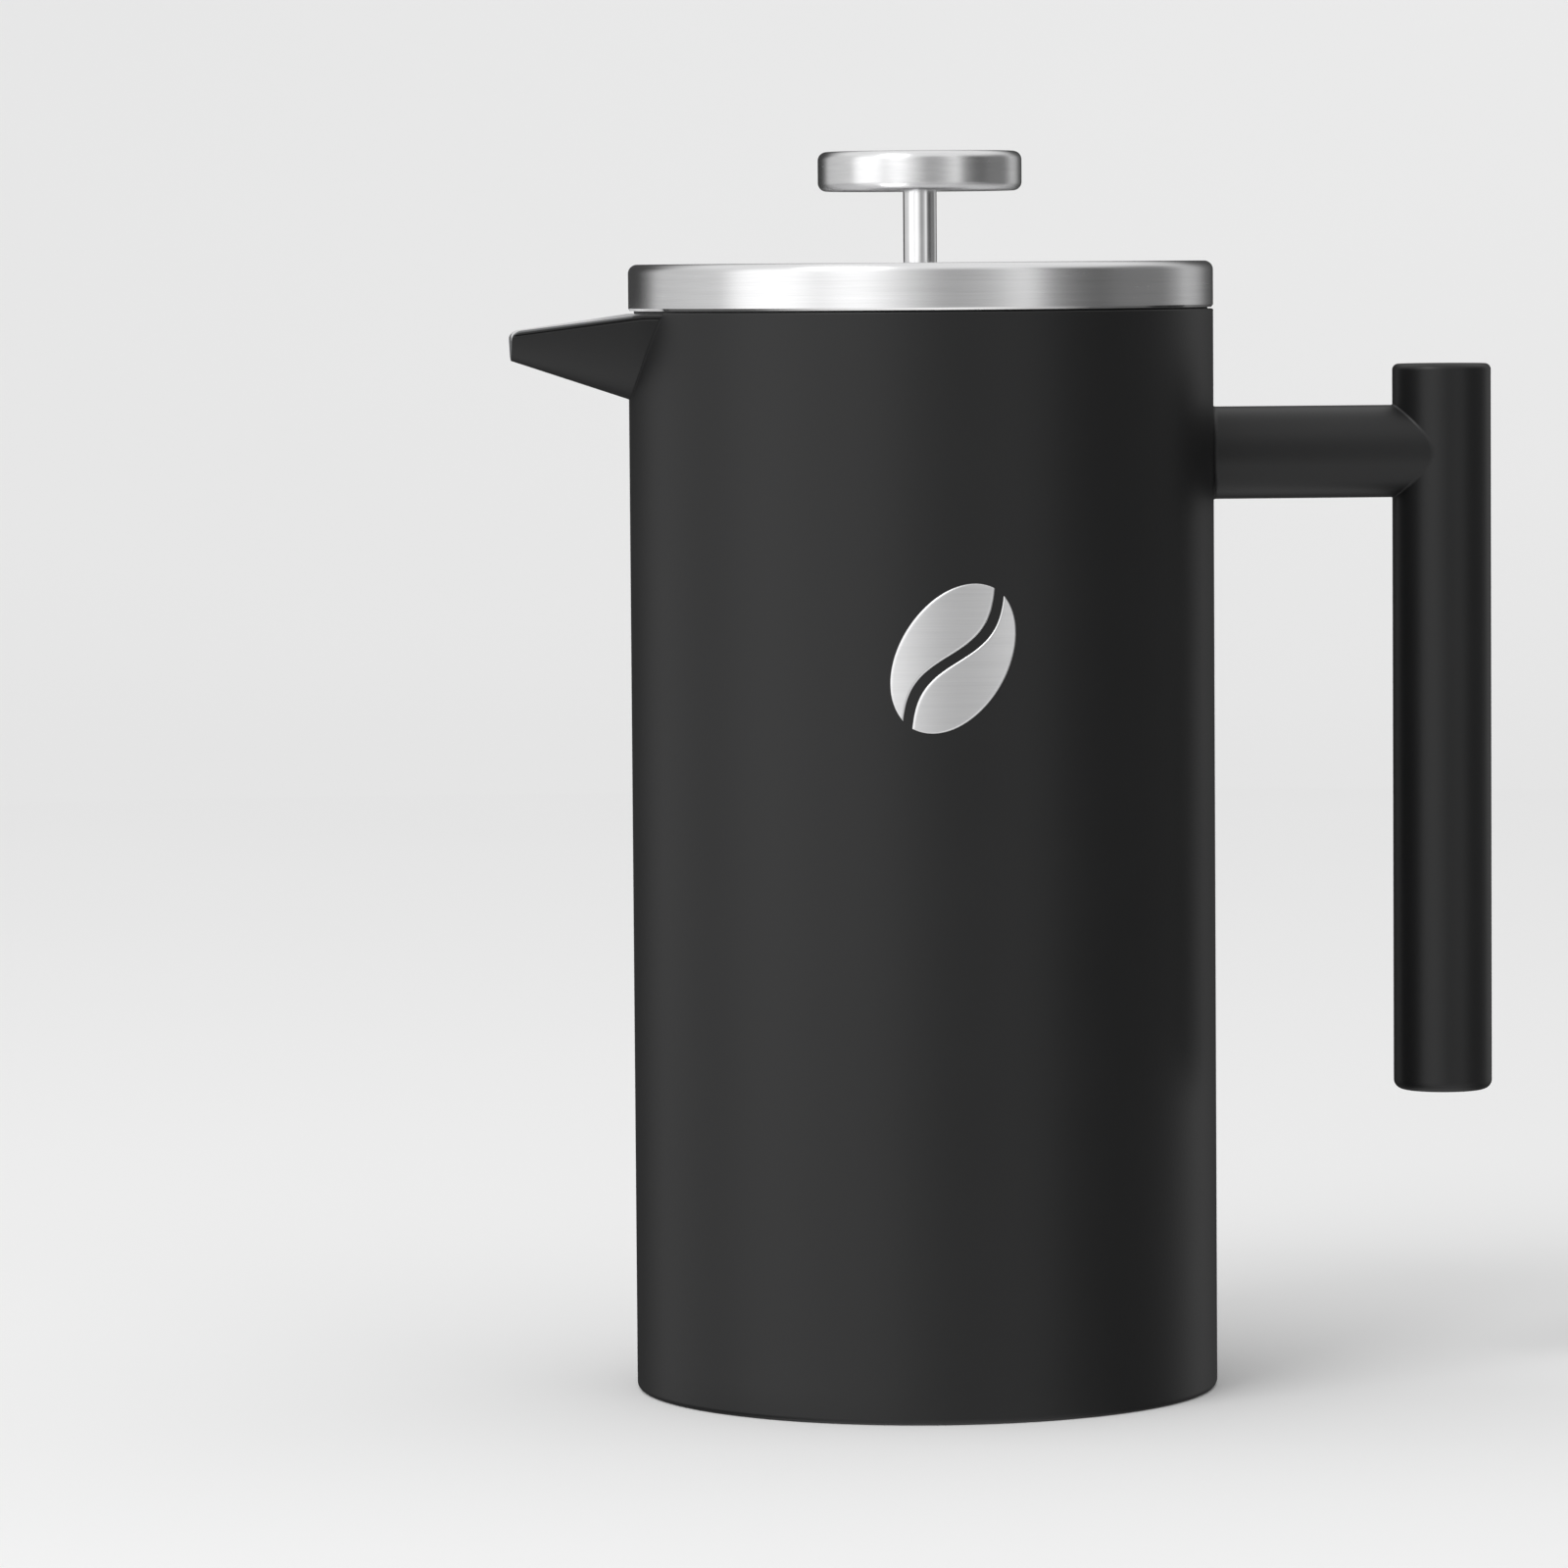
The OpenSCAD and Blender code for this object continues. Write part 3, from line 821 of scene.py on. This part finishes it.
def build_coarse_screen():
    """The outer screen: woven wires pressed into a cup, with a folded band round its edge."""
    outer, low, high = ring_size("coarse_screen")
    pitch, wire, sides, hole = 1.5, 0.13, 5, 3.2
    radius, bend = outer - 0.17, 1.4
    reach = radius - bend + bend * math.pi / 2 + (high - low) - bend - 0.6
    middle, weave = low + 0.15, wire * 0.85

    def place(x, y, over):
        rho = math.hypot(x, y)
        r, z, lean = cup_point(rho, radius, bend, middle)
        out = Vector((x / rho, y / rho, 0.0))
        normal = Vector((0, 0, 1)) * math.cos(lean) - out * math.sin(lean)
        return out * r + Vector((0, 0, z)) + normal * (over * weave), normal

    verts, faces = [], []
    for stretch in cloth_wires(reach, pitch, hole, place):
        total = len(stretch)
        if total < 3:
            continue
        base = len(verts)
        for i, (p, normal) in enumerate(stretch):
            ahead = stretch[min(i + 1, total - 1)][0] - stretch[max(i - 1, 0)][0]
            side = ahead.cross(normal).normalized()
            for k in range(sides):
                q = 2 * math.pi * k / sides
                verts.append(tuple(p + (side * math.cos(q) + normal * math.sin(q)) * wire))
        faces += tube_faces(total, sides, False, base)
        last = base + (total - 1) * sides
        faces.append([base + k for k in reversed(range(sides))])
        faces.append([last + k for k in range(sides)])
    make("coarse_wire_cloth", verts, faces, "plunger", [WIRE], ["coarse_screen"], sharp=80.0)
    band_h, band_t = 0.9, 0.34
    inner = outer - band_t
    outline = [(inner, high - band_h), (outer, high - band_h), (outer, high), (inner, high)]
    verts, faces = revolve(soften(outline, 0.15))
    make("coarse_screen_band", verts, faces, "plunger", [SATIN], ["coarse_screen"])


def hexagon(flats, bore, low, high, chamfer_low, chamfer_high):
    """A hexagon nut with its corners turned off at 30 degrees."""
    steps, bore_edge, least = 96, 0.25, 0.02
    turned, fall = flats / 2 * 0.985, math.tan(math.radians(30))
    verts = []
    for k in range(steps):
        t = 2 * math.pi * k / steps
        r = flats / 2 / math.cos((t + math.pi / 6) % (math.pi / 3) - math.pi / 6)
        drop = (r - turned) * fall
        rows = [(bore, low + bore_edge), (bore + bore_edge, low)]
        rows += [(turned, low), (r, low + (drop if chamfer_low else least))]
        rows += [(r, high - (drop if chamfer_high else least)), (turned, high)]
        rows += [(bore + bore_edge, high), (bore, high - bore_edge)]
        verts += [(q * math.cos(t), q * math.sin(t), z) for q, z in rows]
    return verts, tube_faces(steps, len(rows), True)


def build_nuts():
    """The nut under the lid and the hub nut with its flange."""
    bush_flats, bush_bore, hub_flats, flange_r, flange_t, overlap = 12.0, 4.55, 9.0, 7.0, 1.0, 0.1
    _, low, high = ring_size("bush_nut")
    verts, faces = hexagon(bush_flats, bush_bore, low, high, True, True)
    make("bush_nut_turned", verts, faces, "bush", [MIRROR], ["bush_nut"], sharp=20.0)
    _, low, high = ring_size("hub_nut")
    verts, faces = hexagon(hub_flats, BORE_R, low, high - flange_t + overlap, True, False)
    make("hub_nut_hexagon", verts, faces, "plunger", [MIRROR], ["hub_nut"], sharp=20.0)
    under = high - flange_t
    outline = [(BORE_R, under), (flange_r, under), (flange_r, high), (BORE_R, high)]
    verts, faces = revolve(soften(outline, 0.2), 128)
    make("hub_nut_flange", verts, faces, "plunger", [MIRROR], ["hub_nut"])


def hole_ring(count, at, r, turn=0.0):
    """Centres and radii of round holes spaced evenly on a circle."""
    turns = [math.radians(turn + 360 * i / count) for i in range(count)]
    return [(at * math.cos(t), at * math.sin(t), r) for t in turns]


def pressed_plate(name, outer, holes, low, high, replaced):
    """A punched plate whose outer edge and holes are slightly rounded."""
    edge, rim_steps, hole_steps = 0.12, 128, 40
    curve = bpy.data.curves.new(name + "_outline", "CURVE")
    curve.dimensions = "2D"
    curve.fill_mode = "BOTH"
    curve.extrude = ((high - low) / 2 - edge) * MM
    curve.bevel_depth = edge * MM
    curve.bevel_resolution = 2
    curve.offset = -edge * MM
    for x, y, r in [(0.0, 0.0, outer)] + holes:
        steps = rim_steps if r == outer else hole_steps
        spline = curve.splines.new("POLY")
        spline.points.add(steps - 1)
        spline.use_cyclic_u = True
        for k in range(steps):
            t = 2 * math.pi * k / steps
            spline.points[k].co = ((x + r * math.cos(t)) * MM, (y + r * math.sin(t)) * MM, 0.0, 1.0)
    shaper = bpy.data.objects.new(name + "_outline", curve)
    scene.collection.objects.link(shaper)
    bpy.context.view_layer.update()
    flat = bpy.data.meshes.new_from_object(shaper.evaluated_get(bpy.context.evaluated_depsgraph_get()))
    verts = [(v.co.x / MM, v.co.y / MM, v.co.z / MM + (low + high) / 2) for v in flat.vertices]
    faces = [list(polygon.vertices) for polygon in flat.polygons]
    bpy.data.objects.remove(shaper)
    make(name, verts, faces, "plunger", [SATIN], [replaced], sharp=35.0)


def build_plates():
    """The spring plate above the screens and the cross plate below them."""
    bore = [(0.0, 0.0, BORE_R)]
    outer, low, high = ring_size("spring_plate")
    holes = bore + hole_ring(8, outer * 0.66, 7.0) + hole_ring(8, outer * 0.33, 3.0, 22.5)
    pressed_plate("spring_plate_pressed", outer, holes, low, high, "spring_plate")
    outer, low, high = ring_size("cross_plate")
    cup = outer + 3.0
    holes = bore + hole_ring(12, cup * 0.77, 5.0) + hole_ring(6, cup * 0.47, 6.2, 15.0)
    holes += hole_ring(6, cup * 0.24, 2.0, 45.0)
    pressed_plate("cross_plate_pressed", outer, holes, low, high, "cross_plate")


def build_fine_screen():
    """The inner screen: fine wire cloth pressed into a cup inside the coarse one."""
    outer, low, high = ring_size("fine_screen")
    bend, thick, tip = 1.5, 0.28, high - 0.1
    flat = (36.0, 24.0, 12.0, BORE_R)
    profile = [(q, low) for q in reversed(flat)]
    profile += arc(outer - bend, low + bend, bend, -90, 0, 8)
    profile += [(outer, tip), (outer - thick / 2, high), (outer - thick, tip)]
    profile += arc(outer - bend, low + bend, bend - thick, 0, -90, 8)
    profile += [(q, low + thick) for q in flat]
    verts, faces = revolve(profile)
    make("fine_wire_cloth", verts, faces, "plunger", [MESH_FINE], ["fine_screen"])


def build_gasket():
    """The lid's silicone ring, with rounded edges and a groove between its two sealing lips."""
    outer, low, high = ring_size("lid_gasket")
    inner, groove, groove_depth = outer - 3.9, 0.5, 0.2
    middle = (outer + inner) / 2
    outline = [(inner, low), (outer, low), (outer, high), (middle + groove, high),
               (middle, high - groove_depth), (middle - groove, high), (inner, high)]
    verts, faces = revolve(soften(outline, 0.22))
    make("gasket_moulded", verts, faces, "gasket", [RUBBER], ["lid_gasket"])


build_shell()
build_spout()
build_spout_weld()
build_handle_welds()
build_emblem()
build_lid()
build_knob()
build_edge_spring()
build_coarse_screen()
build_nuts()
build_plates()
build_fine_screen()
build_gasket()


# ---- camera ----

# the photo's viewing point and angles, fitted to the carafe's edges
CAMERA_AT = Vector((-143.527, -1384.333, 199.728)) * MM
YAW, PITCH, ROLL = 0.0854, 0.0658, 0.0076
FOCAL_LENGTH = 179.197
forward = Vector((math.sin(YAW) * math.cos(PITCH), math.cos(YAW) * math.cos(PITCH), -math.sin(PITCH)))
right = Vector((math.cos(YAW), -math.sin(YAW), 0.0))
down = forward.cross(right).normalized()
turned_right = right * math.cos(ROLL) + down * math.sin(ROLL)
turned_down = down * math.cos(ROLL) - right * math.sin(ROLL)
camera_data = bpy.data.cameras.new("camera")
camera_data.sensor_width = 36.0
camera_data.lens = FOCAL_LENGTH
camera_data.clip_start = 0.05
camera_data.clip_end = 60.0
camera = bpy.data.objects.new("camera", camera_data)
scene.collection.objects.link(camera)
axes = Matrix((turned_right, -turned_down, -forward)).transposed()
camera.matrix_world = Matrix.Translation(CAMERA_AT) @ axes.to_4x4()
scene.camera = camera


# ---- studio ----


def stage_material(name, shade, roughness):
    """A matte stage surface with a faint drift in shade."""
    s = Shader(name)
    s.set(s.surface, "Base Color", s.blend(s.noise(scale=3.0), scaled(shade, 0.985), shade))
    s.set(s.surface, "Roughness", roughness)
    s.set(s.surface, "Specular IOR Level", 0.0)
    return s.material


def ring_mesh(name, profile, material):
    """A stage surface turned round the vertical axis, in metres."""
    steps = 96
    verts, faces = [], []
    for r, z in profile:
        for k in range(steps):
            t = 2 * math.pi * k / steps
            verts.append((r * math.cos(t), r * math.sin(t), z))
    for i in range(len(profile) - 1):
        for k in range(steps):
            nxt = (k + 1) % steps
            faces.append([i * steps + k, i * steps + nxt, (i + 1) * steps + nxt, (i + 1) * steps + k])
    mesh = bpy.data.meshes.new(name)
    mesh.from_pydata(verts, [], faces)
    mesh.polygons.foreach_set("use_smooth", [True] * len(mesh.polygons))
    mesh.materials.append(material)
    thing = bpy.data.objects.new(name, mesh)
    scene.collection.objects.link(thing)
    return thing


FLOOR_R, SWEEP_R, WALL_TOP = 1.6, 3.0, 9.0
PALE = stage_material("pale_floor", (0.86, 0.86, 0.86), 0.6)
floor = ring_mesh("floor", [(0.0005, 0.0), (0.3, 0.0), (0.8, 0.0), (FLOOR_R, 0.0)], PALE)
floor.visible_glossy = False
sweep = arc(FLOOR_R, SWEEP_R, SWEEP_R, -90, 0, 24) + [(FLOOR_R + SWEEP_R, WALL_TOP)]
backdrop = ring_mesh("backdrop", sweep, PALE)
backdrop.visible_diffuse = False
backdrop.visible_glossy = False
backdrop.visible_shadow = False
backdrop.visible_transmission = False

# soft boxes round the object: (compass direction in degrees, brightness)
STUDIO = [
    (-180, 0.87), (-170, 1.5), (-156, 1.6), (-146, 1.5), (-136, 1.08), (-127, 1.35), (-117, 1.4),
    (-109, 1.15), (-98, 0.76), (-88, 0.42), (-79, 0.42), (-68, 0.57), (-58, 0.9), (-53, 1.0),
    (-47, 0.6), (-43, 0.31), (-32, 0.135), (-22, 0.11), (-11, 0.2), (1, 0.215), (15, 0.215),
    (25, 0.4), (31, 0.6), (42, 0.5), (55, 0.15), (70, 0.05), (95, 0.05), (118, 0.05),
    (128, 0.2), (138, 0.68), (153, 0.72), (172, 0.8),
]
BRIGHTNESS = 2.0  # of the world; the three levels below and the ramp's colours are shares of it
CEILING, FLOOR_SHADE, TABLE = 0.5, 0.06, 0.5


class World(NodeTree):
    """The studio's light, made from the direction it comes from."""

    def __init__(self, name):
        scene.world = bpy.data.worlds.new(name)
        super().__init__(scene.world)
        towards = self.add("ShaderNodeTexCoord").outputs["Generated"]
        self.direction = self.add("ShaderNodeSeparateXYZ", Vector=towards)

    def fade(self, axis, start, end):
        """0 where the direction's part along the axis is at start, 1 at end."""
        made = self.add("ShaderNodeMapRange", Value=self.direction.outputs[axis])
        self.set(made, "From Min", start)
        self.set(made, "From Max", end)
        return made.outputs[0]

    def mix(self, factor, under, level):
        made = self.tree.nodes.new("ShaderNodeMix")
        made.data_type = "RGBA"
        self.set(made, 0, factor)
        self.set(made, 6, under)
        self.set(made, 7, (level, level, level, 1.0))
        return made.outputs[2]

    def round_about(self, levels):
        """Light that changes with the compass direction."""
        angle = self.maths("ARCTAN2", self.direction.outputs["Y"], self.direction.outputs["X"])
        share = self.maths("ADD", self.maths("DIVIDE", angle, 2 * math.pi), 0.5)
        ramp = self.add("ShaderNodeValToRGB", Fac=share)
        elements = ramp.color_ramp.elements
        elements.remove(elements[-1])
        for i, (degrees, brightness) in enumerate(levels):
            element = elements.new((degrees + 180) / 360) if i else elements[0]
            element.position = (degrees + 180) / 360
            level = brightness / BRIGHTNESS
            element.color = (level, level, level, 1.0)
        return ramp.outputs["Color"]


# the soft boxes, with a pale ceiling over them, a dark floor, and a pale table in front and right below
studio = World("studio")
light = studio.round_about(STUDIO)
light = studio.mix(studio.fade("Z", 0.38, 0.72), light, CEILING)
light = studio.mix(studio.fade("Z", -0.15, -0.45), light, FLOOR_SHADE)
in_front = studio.maths("MULTIPLY", studio.fade("Y", -0.2, -0.5), studio.fade("Z", -0.2, -0.4))
straight_down = studio.fade("Z", -0.75, -0.9)
light = studio.mix(studio.maths("MAXIMUM", in_front, straight_down), light, TABLE)
background = studio.add("ShaderNodeBackground", Color=light, Strength=BRIGHTNESS)
studio.add("ShaderNodeOutputWorld", Surface=background.outputs[0])


def softbox(name, at, towards, size, power):
    """A square area light."""
    data = bpy.data.lights.new(name, "AREA")
    data.shape = "RECTANGLE"
    data.size, data.size_y = size, size
    data.energy = power
    lamp = bpy.data.objects.new(name, data)
    lamp.location = at
    lamp.rotation_mode = "QUATERNION"
    lamp.rotation_quaternion = (Vector(towards) - Vector(at)).to_track_quat("-Z", "Y")
    scene.collection.objects.link(lamp)


softbox("key", at=(-0.9, -1.0, 1.5), towards=(0.0, 0.0, 0.1), size=0.8, power=9.0)
